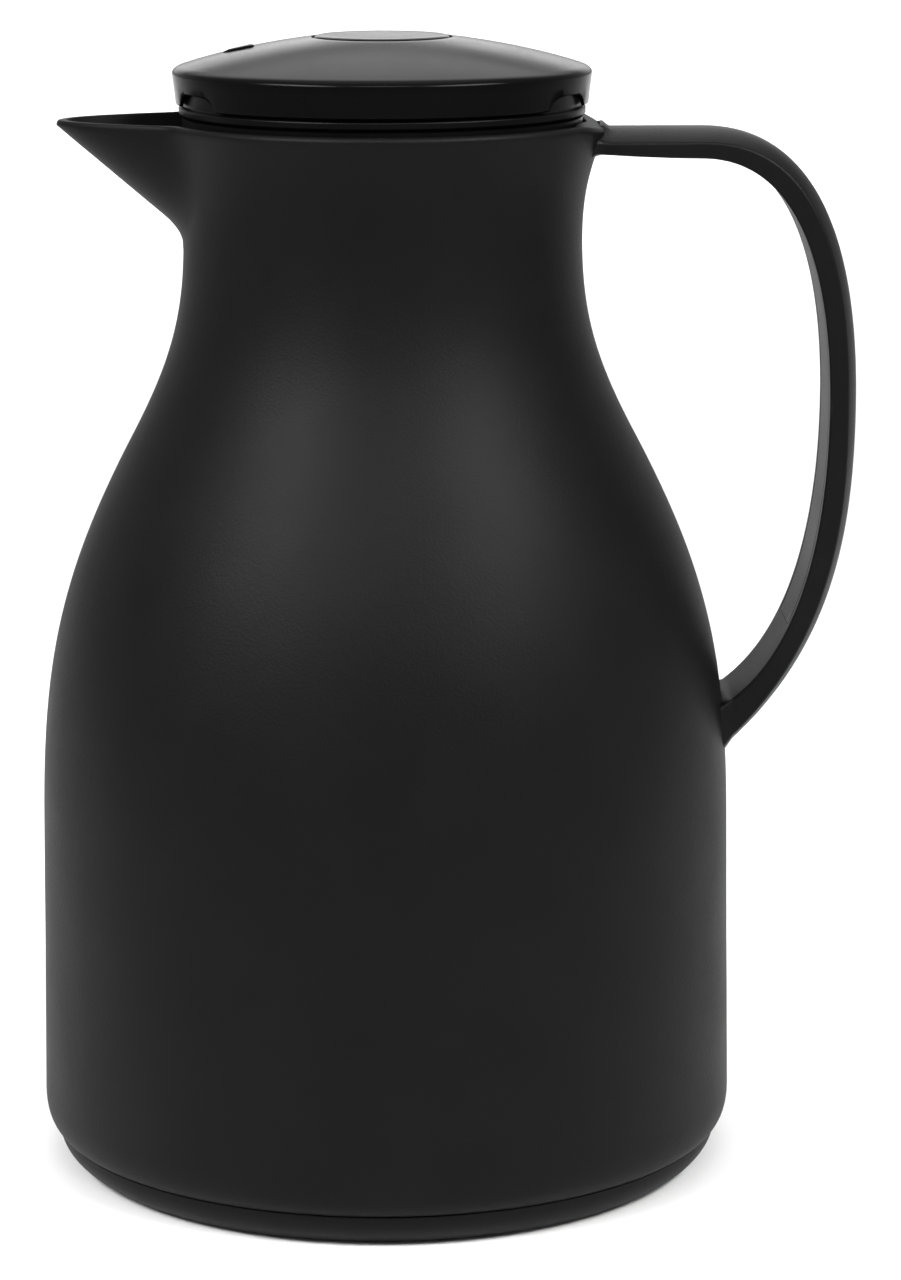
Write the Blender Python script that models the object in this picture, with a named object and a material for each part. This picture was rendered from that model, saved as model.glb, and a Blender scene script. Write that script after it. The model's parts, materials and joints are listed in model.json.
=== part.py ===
"""Vacuum-insulated pouring jug, built as an assembly of separate pieces.

The jug stands on z = 0 with its axis on +Z. The spout points along -X and the
handle stands out along +X. Outlines are written in millimetres and are turned
into metres where a mesh is made.
"""
import math

import bmesh
import bpy
from mathutils import Matrix, Vector

MM = 0.001

# Outer shell
RIM_Z = 240.0
SEAM_Z = 8.2
BODY_R = 79.7
SHOULDER_R = 78.8
SHOULDER_Z = 84.0
SLOPE_R = 57.4
SLOPE_Z = 168.0
NECK_R = 44.95
NECK_Z = 213.0
LIP_R = 50.2
SHELL_WALL = 2.6
BASE_BORE_R = 76.0

# Spout
SPOUT_TIP_X = -73.5
SPOUT_KEEL_SLOPE = 0.847
SPOUT_TIP_DEPTH = 0.8
SPOUT_SPREAD = 3.75
SPOUT_WALL = 1.9

# Land on the rim in front of the handle, and the slope that its top is cut to
LAND_R = 45.3
LAND_HALF_ANGLE = 24.0
DIP_X = 44.5
DIP_SLOPE = 0.36

# Handle
GRIP_TOP_Z = 238.1
GRIP_UNDER_Z = 231.8
GRIP_OUT_X = 107.3
GRIP_IN_X = 100.4
GRIP_BEND_Z = 176.0
GRIP_HALF_WIDTH = 12.0
GRIP_CROWN = 2.8
COVER_HALF_WIDTH = 9.0
COVER_THICKNESS = 1.2
SCREW_Z = 106.0

# Screw threads: lead is the rise in one turn
STOPPER_LEAD = 18.0
STOPPER_STARTS = 3
STOPPER_LUG_ARC = 81.0
STOPPER_LUG_THICKNESS = 2.4
BASE_LEAD = 8.0
BASE_STARTS = 2
BASE_LUG_ARC = 120.0
BASE_LUG_THICKNESS = 1.5

# Flask
FLASK_R = 71.5
FLASK_INNER_R = 62.0
GLASS = 1.5
MOUTH_Z = 199.4
MOUTH_OUT_R = 32.5
MOUTH_IN_R = 26.8
LIP_DEPTH = 2.6

# Stopper
LID_R = 47.0
LID_EDGE_Z = 252.1
SKIRT_Z = 243.7
ARCH_ANGLE = 25.0
ARCH_HALF_WIDTH = 10.5
ARCH_HALF_HEIGHT = 3.6
BUTTON_R = 15.4
BUTTON_TOP_Z = 258.6
SLEEVE_R = 38.1
COLLAR_BORE_R = 40.4
STEM_R = 2.6

GAP = 0.3
BIG_TURN = 40
MID_TURN = 32
FLASK_TURN = 24
SMALL_TURN = 16


def clear_scene():
    for item in list(bpy.data.objects):
        bpy.data.objects.remove(item, do_unlink=True)


def finish(name, colour, roughness, metallic=0.0, alpha=1.0):
    material = bpy.data.materials.new(name)
    material.use_nodes = True
    shader = material.node_tree.nodes["Principled BSDF"]
    shader.inputs["Base Color"].default_value = (*colour, 1.0)
    shader.inputs["Roughness"].default_value = roughness
    shader.inputs["Metallic"].default_value = metallic
    shader.inputs["Alpha"].default_value = alpha
    return material


# Outlines: lists of (radius, height) or (x, z) points in millimetres

def bezier(start, first, second, end, steps):
    points = []
    for index in range(steps + 1):
        t = index / steps
        weights = ((1 - t) ** 3, 3 * t * (1 - t) ** 2, 3 * t * t * (1 - t), t ** 3)
        corners = (start, first, second, end)
        points.append(tuple(sum(w * p[k] for w, p in zip(weights, corners)) for k in (0, 1)))
    return points


def chain(*runs):
    """Join runs of points end to end, without repeating shared ends."""
    points = []
    for run in runs:
        for point in run:
            if not points or math.dist(points[-1], point) > 1e-6:
                points.append(point)
    return points


def offset(points, distance):
    """Shift a run of points to its left-hand side by a distance."""
    shifted = []
    last = len(points) - 1
    for index, (r, z) in enumerate(points):
        before = points[max(index - 1, 0)]
        after = points[min(index + 1, last)]
        along = Vector((after[0] - before[0], after[1] - before[1])).normalized()
        shifted.append((r - along.y * distance, z + along.x * distance))
    return shifted


def oval(centre_r, centre_z, half_r, half_z, steps=8):
    turn = [2 * math.pi * (k + 0.5) / steps for k in range(steps)]
    return [(centre_r + half_r * math.cos(a), centre_z + half_z * math.sin(a)) for a in turn]


def shoulder_line(steps):
    return bezier((SHOULDER_R, SHOULDER_Z), (78.1, 117.9), (73.7, 137.2), (SLOPE_R, SLOPE_Z), steps)


def neck_line(steps):
    return bezier((SLOPE_R, SLOPE_Z), (48.8, 184.2), (45.0, 195.1), (NECK_R, NECK_Z), steps)


def flare_line(steps):
    return bezier((NECK_R, NECK_Z), (45.0, 222.9), (46.4, 228.6), (LIP_R, RIM_Z - 1.2), steps)


def body_outline():
    """Outer surface of the shell from its lower edge up to the rim."""
    corner = bezier((77.0, SEAM_Z), (78.6, SEAM_Z + 1.2), (BODY_R, 11.5), (BODY_R, 16.0), 3)
    wall = [(79.2, 50.0)]
    lip = [(LIP_R - 0.3, RIM_Z - 0.35), (LIP_R - 0.9, RIM_Z)]
    return chain(corner, wall, shoulder_line(6), neck_line(4), flare_line(3), lip)


# Mesh makers

def add_object(name, mesh, material):
    item = bpy.data.objects.new(name, mesh)
    bpy.context.scene.collection.objects.link(item)
    if material is not None:
        mesh.materials.append(material)
    return item


def mesh_from(bm, name, smooth_angle=35.0):
    bmesh.ops.recalc_face_normals(bm, faces=bm.faces)
    mesh = bpy.data.meshes.new(name)
    bm.to_mesh(mesh)
    bm.free()
    mesh.shade_smooth()
    mesh.set_sharp_from_angle(angle=math.radians(smooth_angle))
    return mesh


def turned(name, outline, material, segments, closed=True):
    """Spin an outline about +Z. An open outline starts and ends on the axis."""
    bm = bmesh.new()
    verts = [bm.verts.new((r * MM, 0.0, z * MM)) for r, z in outline]
    pairs = list(zip(verts, verts[1:]))
    if closed:
        pairs.append((verts[-1], verts[0]))
    edges = [bm.edges.new(pair) for pair in pairs]
    bmesh.ops.spin(bm, geom=verts + edges, cent=(0, 0, 0), axis=(0, 0, 1),
                   angle=2 * math.pi, steps=segments, use_merge=True)
    bmesh.ops.remove_doubles(bm, verts=bm.verts, dist=1e-7)
    return add_object(name, mesh_from(bm, name), material)


def loft(name, sections, material):
    """Skin a row of equal closed sections, given in millimetres, and cap both ends."""
    bm = bmesh.new()
    rings = [[bm.verts.new(Vector(p) * MM) for p in section] for section in sections]
    count = len(rings[0])
    for ring, following in zip(rings, rings[1:]):
        for k in range(count):
            bm.faces.new((ring[k], ring[(k + 1) % count], following[(k + 1) % count], following[k]))
    bm.faces.new(rings[0])
    bm.faces.new(rings[-1])
    return add_object(name, mesh_from(bm, name), material)


def rod(name, radius, start, end, material=None, sides=16):
    """A cylinder between two points given in millimetres."""
    start = Vector(start) * MM
    end = Vector(end) * MM
    bm = bmesh.new()
    bmesh.ops.create_cone(bm, cap_ends=True, segments=sides, radius1=radius * MM,
                          radius2=radius * MM, depth=(end - start).length)
    item = add_object(name, mesh_from(bm, name), material)
    item.rotation_euler = (end - start).to_track_quat("Z", "Y").to_euler()
    item.location = (start + end) / 2
    return item


def block(name, low, high):
    """A box between two corners given in millimetres."""
    bm = bmesh.new()
    bmesh.ops.create_cube(bm, size=1.0)
    size = [h - l for l, h in zip(low, high)]
    bmesh.ops.scale(bm, vec=Vector(size) * MM, verts=bm.verts)
    bmesh.ops.translate(bm, vec=(Vector(low) + Vector(high)) / 2 * MM, verts=bm.verts)
    return add_object(name, mesh_from(bm, name), None)


def shape_with(target, tool, operation):
    """Cut the target with the tool or join them; the tool stays a hidden guide."""
    tool.hide_render = True
    tool.display_type = "WIRE"
    modifier = target.modifiers.new(operation.title(), "BOOLEAN")
    modifier.operation = operation
    modifier.object = tool
    modifier.solver = "EXACT"


def cut(target, *tools):
    for tool in tools:
        shape_with(target, tool, "DIFFERENCE")


def join(target, *tools):
    for tool in tools:
        shape_with(target, tool, "UNION")


def thread_lugs(name, root_r, tip_r, centre_z, lead, starts, arc_deg, thickness):
    """Helical lugs of a screw thread; they widen from the tip to the root."""
    bm = bmesh.new()
    steps = max(int(arc_deg / 9), 4)
    root_half = thickness / 2
    tip_half = thickness / 3
    for start in range(starts):
        middle = 360.0 * start / starts
        rings = []
        for step in range(steps + 1):
            swing = arc_deg * (step / steps - 0.5)
            angle = math.radians(middle + swing)
            height = centre_z + lead * swing / 360.0
            corners = ((root_r, -root_half), (tip_r, -tip_half), (tip_r, tip_half), (root_r, root_half))
            ring = []
            for r, z in corners:
                place = Vector((r * math.cos(angle), r * math.sin(angle), height + z))
                ring.append(bm.verts.new(place * MM))
            rings.append(ring)
        for ring, following in zip(rings, rings[1:]):
            for k in range(4):
                bm.faces.new((ring[k], ring[(k + 1) % 4], following[(k + 1) % 4], following[k]))
        bm.faces.new(rings[0])
        bm.faces.new(rings[-1])
    return add_object(name, mesh_from(bm, name), None)


# Shell and spout

def spout_section(x, half_width, bottom_z, top_z):
    """A boat-shaped section across the spout: flat on top, rounded below."""
    points = []
    sides = 8
    for step in range(sides + 1):
        angle = math.pi * step / sides
        sag = math.sin(angle) ** 1.25
        points.append((x, half_width * math.cos(angle), RIM_Z - (RIM_Z - bottom_z) * sag))
    if top_z > RIM_Z:
        points.append((x, -half_width, top_z))
        points.append((x, half_width, top_z))
    return points


def spout_half_width(distance):
    return SPOUT_SPREAD * math.sqrt(distance)


def spout_keel_z(distance):
    return RIM_Z - SPOUT_TIP_DEPTH - SPOUT_KEEL_SLOPE * distance


def spout_solid(name, inset, top_z):
    """The spout's outer form, or with an inset its channel."""
    sections = []
    for distance in (0.15, 1.0, 3.0, 6.5, 11.0, 17.0, 23.0, 29.0, 34.0):
        x = SPOUT_TIP_X + distance + 1.6 * inset
        half = max(spout_half_width(distance), 0.6)
        bottom = spout_keel_z(distance + 0.4 * inset)
        sections.append(spout_section(x, half, bottom, top_z))
    return loft(name, sections, None)


def rim_land():
    """Widens the rim inwards on the handle side."""
    top_z = RIM_Z - 0.25
    foot_z = RIM_Z - 4.6
    profile = [(LAND_R, top_z), (LAND_R + 2.9, top_z), (LAND_R + 2.1, foot_z), (LAND_R + 1.3, foot_z)]
    steps = 6
    sections = []
    for step in range(steps + 1):
        angle = math.radians(LAND_HALF_ANGLE * (2 * step / steps - 1))
        sections.append([(r * math.cos(angle), r * math.sin(angle), z) for r, z in profile])
    return loft("guide_rim_land", sections, None)


def rim_dip():
    """Wedge that lowers the rim where it runs into the handle."""
    far_x = 54.0
    top_z = RIM_Z + 8.0
    wedge = [(DIP_X, RIM_Z + 0.1), (far_x, RIM_Z + 0.1 - DIP_SLOPE * (far_x - DIP_X)), (far_x, top_z),
             (DIP_X, top_z)]
    return loft("cutter_rim_dip", [[(x, y, z) for x, z in wedge] for y in (-30.0, 30.0)], None)


def outer_shell(plastic):
    outline = [(0.0, SEAM_Z)] + body_outline() + [(0.0, RIM_Z)]
    shell = turned("outer_shell", outline, plastic, BIG_TURN, closed=False)
    join(shell, spout_solid("guide_spout", 0.0, RIM_Z))

    inside = offset(chain(shoulder_line(4), neck_line(3), flare_line(3)), SHELL_WALL)
    inside = [(r, z) for r, z in inside if z > SHOULDER_Z + 1.0]
    top_r = inside[-1][0] + 1.4
    hollow = chain([(0.0, -5.0), (BASE_BORE_R, -5.0), (BASE_BORE_R, SHOULDER_Z)], inside,
                   [(top_r, RIM_Z + 4.0), (0.0, RIM_Z + 4.0)])
    cut(shell, turned("cutter_hollow", hollow, None, BIG_TURN, closed=False))
    join(shell, rim_land())
    cut(shell, spout_solid("cutter_spout", SPOUT_WALL, RIM_Z + 5.0), rim_dip())
    join(shell, thread_lugs("guide_base_thread", BASE_BORE_R + 1.0, 74.4, 13.7, BASE_LEAD,
                            BASE_STARTS, BASE_LUG_ARC, BASE_LUG_THICKNESS))
    cut(shell, rod("cutter_screw_hole", 2.3, (70, 0, SCREW_Z), (84, 0, SCREW_Z), sides=12))
    return shell


# Handle

def grip_lines(steps_top=7, steps_low=6):
    """Outer crown line and inner face line of the handle, as (x, z) pairs."""
    top = (72.0, GRIP_TOP_Z)
    outer = chain(
        [(40.0, GRIP_TOP_Z - 0.2), (56.0, GRIP_TOP_Z - 0.1)],
        bezier(top, (101.0, GRIP_TOP_Z), (GRIP_OUT_X, 205.0), (GRIP_OUT_X, GRIP_BEND_Z), steps_top),
        bezier((GRIP_OUT_X, GRIP_BEND_Z), (GRIP_OUT_X, 146.6), (103.2, 119.6), (79.7, 97.7), steps_low),
        [(71.0, 89.5)])
    inner = chain(
        [(40.0, GRIP_UNDER_Z + 1.2), (56.0, GRIP_UNDER_Z + 0.4)],
        bezier((71.0, GRIP_UNDER_Z), (95.0, GRIP_UNDER_Z), (GRIP_IN_X, 201.0), (GRIP_IN_X, GRIP_BEND_Z),
               steps_top),
        bezier((GRIP_IN_X, GRIP_BEND_Z), (GRIP_IN_X, 154.0), (97.1, 122.3), (78.7, 108.4), steps_low),
        [(71.0, 103.0)])
    return list(zip(inner, outer))


def across_grip(pair, places):
    """Place (y, depth) points on the plane through an inner and an outer point."""
    inner = Vector((pair[0][0], 0.0, pair[0][1]))
    outer = Vector((pair[1][0], 0.0, pair[1][1]))
    through = (outer - inner).normalized()
    thickness = (outer - inner).length
    section = []
    for y, depth, from_crown in places:
        reach = thickness - depth if from_crown else depth
        section.append(inner + through * reach + Vector((0.0, y, 0.0)))
    return section


def mirrored(places):
    """Close a half section by its mirror image across y = 0."""
    return places + [(-y, depth, crown) for y, depth, crown in reversed(places) if y > 0.0]


def body_clearance():
    outline = offset(body_outline(), -GAP)
    outline = [(0.0, SEAM_Z)] + outline + [(outline[-1][0], RIM_Z + 6.0), (0.0, RIM_Z + 6.0)]
    return turned("cutter_body", outline, None, BIG_TURN, closed=False)


def handle_grip(plastic):
    half = [(0.0, 0.0, True), (5.0, 0.35, True), (9.0, 1.25, True), (GRIP_HALF_WIDTH, GRIP_CROWN, True),
            (GRIP_HALF_WIDTH, 0.7, False), (GRIP_HALF_WIDTH - 0.7, 0.0, False)]
    stations = grip_lines()
    grip = loft("handle_grip", [across_grip(pair, mirrored(half)) for pair in stations], plastic)

    wide = COVER_HALF_WIDTH + GAP
    deep = COVER_THICKNESS + GAP
    channel = [(6.0, GRIP_CROWN, True), (7.4, deep, False), (wide, deep, False), (wide, -1.0, False)]
    hollow = [across_grip(pair, mirrored(channel)) for pair in stations[2:-3]]
    pilot = rod("cutter_pilot", 2.1, (70, 0, SCREW_Z), (85, 0, SCREW_Z), sides=12)
    cut(grip, body_clearance(), pilot, loft("cutter_channel", hollow, None))
    return grip


def handle_cover(plastic):
    half = [(COVER_HALF_WIDTH, COVER_THICKNESS, False), (COVER_HALF_WIDTH, 0.0, False)]
    stations = grip_lines()[2:-3]
    sections = [across_grip(pair, mirrored(half)) for pair in stations]
    for ends in ((0, 1), (-1, -2)):
        outside, inside = ends
        for k, point in enumerate(sections[outside]):
            along = (sections[inside][k] - point).normalized()
            sections[outside][k] = point + along * GAP
    return loft("handle_cover", sections, plastic)


def handle_screw(steel):
    head = [(0.0, 0.0), (3.4, 0.0), (3.4, 1.2), (2.6, 2.0), (0.0, 2.0)]
    screw = turned("handle_screw", head, steel, 16, closed=False)
    turned_down = Matrix.Rotation(math.radians(-90.0), 4, "Y")
    screw.data.transform(turned_down)
    screw.location = Vector((74.3, 0.0, SCREW_Z)) * MM
    join(screw, rod("guide_shank", 1.75, (73.6, 0, SCREW_Z), (84.2, 0, SCREW_Z), sides=12))
    cut(screw, rod("cutter_recess", 1.1, (71.0, 0, SCREW_Z), (73.3, 0, SCREW_Z), sides=6))
    return screw


# Base

def base_cap(plastic):
    foot = bezier((70.6, 0.0), (74.2, 1.8), (76.3, 4.2), (76.6, 6.6), 3)
    outline = chain(
        [(0.0, 0.0), (24.0, 0.0), (25.6, 2.0), (57.4, 2.0), (59.0, 0.0)], foot,
        [(76.6, 7.9), (73.9, 7.9), (73.9, 9.0), (72.6, 9.0), (72.6, 11.4), (73.9, 11.4), (73.9, 19.2),
         (71.8, 19.2), (71.0, 4.4), (38.5, 4.4), (38.5, 8.0), (36.6, 8.0), (36.6, 4.4), (27.5, 4.4),
         (25.0, 2.4), (0.0, 2.4)])
    base = turned("base_cap", outline, plastic, BIG_TURN, closed=False)
    join(base, thread_lugs("guide_foot_thread", 73.3, 75.4, 15.6, BASE_LEAD, BASE_STARTS, BASE_LUG_ARC,
                           BASE_LUG_THICKNESS))
    return base


def base_seal_ring(rubber):
    return turned("base_seal_ring", oval(74.4, 10.2, 1.1, 0.9, 6), rubber, BIG_TURN)


def flask_cushion(rubber):
    outline = [(10.0, 4.7), (36.0, 4.7), (36.0, 14.2), (34.4, 16.0), (23.0, 15.2), (12.0, 14.7), (10.0, 13.4)]
    return turned("flask_cushion", outline, rubber, MID_TURN)


# Flask

def flask_outside():
    foot = bezier((8.0, 15.2), (45.0, 15.2), (FLASK_R, 20.0), (FLASK_R, 50.0), 4)
    shoulder = bezier((FLASK_R, 86.0), (70.8, 116.0), (65.5, 134.0), (51.5, 164.0), 4)
    neck = bezier((51.5, 164.0), (44.0, 179.0), (MOUTH_OUT_R, 180.0), (MOUTH_OUT_R, 192.0), 3)
    return chain(foot, shoulder, neck)


def flask_inside():
    foot = bezier((0.0, 25.0), (38.0, 25.0), (FLASK_INNER_R, 30.0), (FLASK_INNER_R, 56.0), 4)
    shoulder = bezier((FLASK_INNER_R, 86.0), (61.6, 112.0), (57.5, 128.0), (43.5, 157.0), 4)
    neck = bezier((43.5, 157.0), (36.5, 171.0), (MOUTH_IN_R, 174.0), (MOUTH_IN_R, 188.0), 3)
    return chain(foot, shoulder, neck)


def flask_outer_wall(glass):
    """The outer bottle: open at its neck, with the drawn-off tip under its foot."""
    outside = flask_outside()
    neck_z = MOUTH_Z - LIP_DEPTH - GAP
    tip = [(0.0, 9.4), (1.4, 9.4), (3.4, 10.4), (4.6, 13.6)]
    back = [p for p in offset(outside, GLASS) if p[0] > 8.5]
    outline = chain(tip, outside, [(MOUTH_OUT_R, neck_z), (back[-1][0], neck_z)], reversed(back),
                    [(0.0, 16.7)])
    return turned("flask_outer_wall", outline, glass, FLASK_TURN, closed=False)


def flask_inner_wall(glass):
    """The inner bottle, whose lip turns out over the neck of the outer one."""
    inside = flask_inside()
    lip_z = MOUTH_Z - LIP_DEPTH
    lip = [(MOUTH_IN_R, MOUTH_Z - 1.2), (MOUTH_IN_R + 1.2, MOUTH_Z), (MOUTH_OUT_R - 1.2, MOUTH_Z),
           (MOUTH_OUT_R, MOUTH_Z - 1.2), (MOUTH_OUT_R, lip_z)]
    back = [p for p in offset(inside, -GLASS) if p[0] > 1.0]
    outline = chain(inside, lip, [(back[-1][0], lip_z)], reversed(back), [(0.0, 25.0 - GLASS)])
    return turned("flask_inner_wall", outline, glass, FLASK_TURN, closed=False)


def flask_spacers(felt):
    """Three round pads that keep the flask's two walls apart."""
    low = FLASK_INNER_R + GLASS + 0.7
    high = FLASK_R - GLASS - 1.6
    for index in range(3):
        angle = math.radians(120.0 * index + 60.0)
        out = Vector((math.cos(angle), math.sin(angle), 0.0))
        up = Vector((0.0, 0.0, 62.0))
        name = "flask_spacer_%d" % (index + 1)
        rod(name, 6.0, out * low + up, out * high + up, felt, sides=14)


def flask_gasket(rubber):
    outline = [(28.0, 199.8), (33.0, 199.8), (33.0, 196.6), (34.6, 196.6), (34.6, 202.6), (28.0, 202.6)]
    return turned("flask_gasket", outline, rubber, MID_TURN)


# Pouring collar in the neck

def pouring_collar(plastic):
    outline = [(27.5, 203.0), (35.2, 203.0), (38.6, 202.4), (40.9, 199.5), (42.9, 190.0), (44.4, 190.0),
               (42.6, 201.0), (41.9, 208.0), (41.9, 226.0), (COLLAR_BORE_R, 226.0),
               (COLLAR_BORE_R, 212.0), (39.4, 210.0), (27.5, 206.0)]
    collar = turned("pouring_collar", outline, plastic, MID_TURN)
    join(collar, thread_lugs("guide_neck_thread", COLLAR_BORE_R + 0.7, 39.0, 221.1, STOPPER_LEAD,
                             STOPPER_STARTS, STOPPER_LUG_ARC, STOPPER_LUG_THICKNESS))
    return collar


def collar_seal(rubber):
    return turned("collar_seal", oval(42.6, 225.2, 0.38, 0.6, 6), rubber, MID_TURN)


# Stopper

def stopper_body(plastic):
    outline = [(24.0, 199.3), (24.0, 212.0), (37.5, 212.0), (SLEEVE_R, 212.6), (SLEEVE_R, 228.0),
               (44.9, 236.0), (44.9, 248.6), (43.2, 248.6), (43.2, 236.8), (36.3, 228.8), (36.3, 214.4),
               (24.0, 214.4), (24.0, 224.5), (5.6, 224.5), (5.6, 231.0), (3.0, 231.0), (3.0, 222.3),
               (22.0, 222.3), (22.0, 199.3)]
    body = turned("stopper_body", outline, plastic, MID_TURN)
    join(body, thread_lugs("guide_stopper_thread", SLEEVE_R - 0.7, 40.0, 218.5, STOPPER_LEAD,
                           STOPPER_STARTS, STOPPER_LUG_ARC, STOPPER_LUG_THICKNESS))
    cut(body, block("cutter_ports_x", (-30, -6, 215.4), (30, 6, 221.2)))
    cut(body, block("cutter_ports_y", (-6, -30, 215.4), (6, 30, 221.2)))
    cut(body, block("cutter_outlet", (-50, -14, 229.4), (50, 14, 235.4)))
    return body


def stopper_seal(rubber):
    outline = [(24.4, 207.2), (28.0, 206.6), (30.2, 207.4), (30.2, 211.7), (24.4, 211.7)]
    return turned("stopper_seal", outline, rubber, MID_TURN)


def skirt_arch(index, angle_deg):
    """An arch-shaped cutter through the skirt, at an angle round the axis."""
    angle = math.radians(angle_deg)
    height = SKIRT_Z - 0.7
    start, end = ((r * math.cos(angle), r * math.sin(angle), height) for r in (40.0, 52.0))
    arch = rod("cutter_arch_%d" % index, 1.0, start, end, sides=20)
    arch.data.transform(Matrix.Diagonal((ARCH_HALF_WIDTH, ARCH_HALF_HEIGHT, 1.0, 1.0)))
    return arch


def stopper_cap(plastic):
    dome = [(BUTTON_R + 0.4, 258.2), (30.0, 255.4), (40.0, 253.3), (45.0, LID_EDGE_Z), (46.4, 251.5),
            (LID_R, 250.5)]
    skirt = [(46.6, 247.0), (46.1, SKIRT_Z), (45.3, SKIRT_Z), (45.3, 249.0)]
    under = [(43.4, 249.9), (38.0, 251.4), (17.6, 255.6), (17.6, 249.1), (BUTTON_R + 0.4, 249.1)]
    cap = turned("stopper_cap", dome + skirt + under, plastic, BIG_TURN)
    for index, angle in enumerate((ARCH_ANGLE, 180.0 - ARCH_ANGLE, 180.0 + ARCH_ANGLE, -ARCH_ANGLE)):
        cut(cap, skirt_arch(index + 1, angle))
    heel = [(-27.6, -2.4, 254.0), (-27.6, 2.4, 254.0), (-27.6, 2.4, 256.2), (-27.6, -2.4, 256.2)]
    toe = [(-34.4, -0.5, 253.0), (-34.4, 0.5, 253.0), (-34.4, 0.5, 254.9), (-34.4, -0.5, 254.9)]
    join(cap, loft("guide_pointer", [heel, toe], None))
    return cap


def push_button(plastic):
    outline = [(0.0, BUTTON_TOP_Z), (14.7, BUTTON_TOP_Z), (BUTTON_R, BUTTON_TOP_Z - 0.7),
               (BUTTON_R, 248.8), (17.2, 248.8), (17.2, 247.2), (13.6, 247.2), (13.6, 256.4),
               (5.2, 256.4), (5.2, 247.0), (2.9, 247.0), (2.9, 251.0), (0.0, 251.0)]
    return turned("push_button", outline, plastic, MID_TURN, closed=False)


def button_spring(steel):
    """Compression spring between the stopper body and the button."""
    coils = 5.5
    steps = 12
    points = int(coils * steps)
    curve = bpy.data.curves.new("button_spring", "CURVE")
    curve.dimensions = "3D"
    curve.bevel_depth = 0.6 * MM
    curve.bevel_resolution = 0
    curve.use_fill_caps = True
    line = curve.splines.new("POLY")
    line.points.add(points)
    for index, point in enumerate(line.points):
        angle = 2 * math.pi * index / steps
        height = 225.4 + 30.1 * index / points
        point.co = (8.6 * MM * math.cos(angle), 8.6 * MM * math.sin(angle), height * MM, 1.0)
    spring = bpy.data.objects.new("button_spring", curve)
    bpy.context.scene.collection.objects.link(spring)
    curve.materials.append(steel)
    return spring


def valve_stem(steel):
    outline = [(0.0, 191.6), (6.0, 191.6), (6.0, 194.1), (STEM_R, 194.1), (STEM_R, 250.5), (0.0, 250.5)]
    return turned("valve_stem", outline, steel, SMALL_TURN, closed=False)


def valve_disc(plastic):
    outline = [(2.9, 194.4), (24.0, 194.4), (25.0, 195.3), (25.0, 196.6), (2.9, 196.6)]
    return turned("valve_disc", outline, plastic, MID_TURN)


def valve_seal(rubber):
    outline = [(20.0, 196.9), (24.9, 196.9), (24.9, 198.3), (24.3, 198.9), (20.6, 198.9), (20.0, 198.3)]
    return turned("valve_seal", outline, rubber, MID_TURN)


def valve_clip(steel):
    clip = turned("valve_clip", [(2.9, 196.9), (6.0, 196.9), (6.0, 197.8), (2.9, 197.8)], steel, SMALL_TURN)
    cut(clip, block("cutter_clip_slot", (0, -1.4, 196), (8, 1.4, 199)))
    return clip


def put_origin(item, height):
    """Move an object's origin up the jug's axis without moving its surface."""
    shift = Vector((0.0, 0.0, height * MM))
    item.data.transform(Matrix.Translation(-shift))
    item.location = item.location + shift


def build():
    clear_scene()
    matte = finish("matte_black_plastic", (0.018, 0.018, 0.019), 0.55)
    gloss = finish("gloss_black_plastic", (0.012, 0.012, 0.013), 0.16)
    natural = finish("natural_plastic", (0.55, 0.54, 0.5), 0.45)
    rubber = finish("grey_silicone", (0.32, 0.32, 0.31), 0.6)
    glass = finish("silvered_glass", (0.78, 0.79, 0.8), 0.06, metallic=0.9)
    steel = finish("spring_steel", (0.56, 0.56, 0.57), 0.28, metallic=1.0)
    felt = finish("felt", (0.6, 0.57, 0.5), 0.95)

    outer_shell(matte)
    handle_grip(matte)
    handle_cover(matte)
    handle_screw(steel)
    flask_outer_wall(glass)
    flask_inner_wall(glass)
    flask_spacers(felt)
    flask_gasket(rubber)
    pouring_collar(gloss)
    collar_seal(rubber)

    base_ring = base_seal_ring(rubber)
    base = base_cap(matte)
    cushion = flask_cushion(rubber)
    for item in (base_ring, base, cushion):
        put_origin(item, SEAM_Z)

    put_origin(stopper_seal(rubber), RIM_Z)
    put_origin(stopper_body(gloss), RIM_Z)
    put_origin(stopper_cap(gloss), RIM_Z)
    button_spring(steel)
    for item in (push_button(gloss), valve_stem(steel), valve_disc(natural), valve_seal(rubber),
                 valve_clip(steel)):
        put_origin(item, RIM_Z)


build()
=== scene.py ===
"""Looks of the vacuum jug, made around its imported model.

Every piece is a fine mesh made from outlines in millimetres, and stands for the
CAD node of the same name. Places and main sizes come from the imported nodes' boxes.
The jug's axis is +Z, the spout points along -X and the handle along +X.
"""

import json
import math

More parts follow.
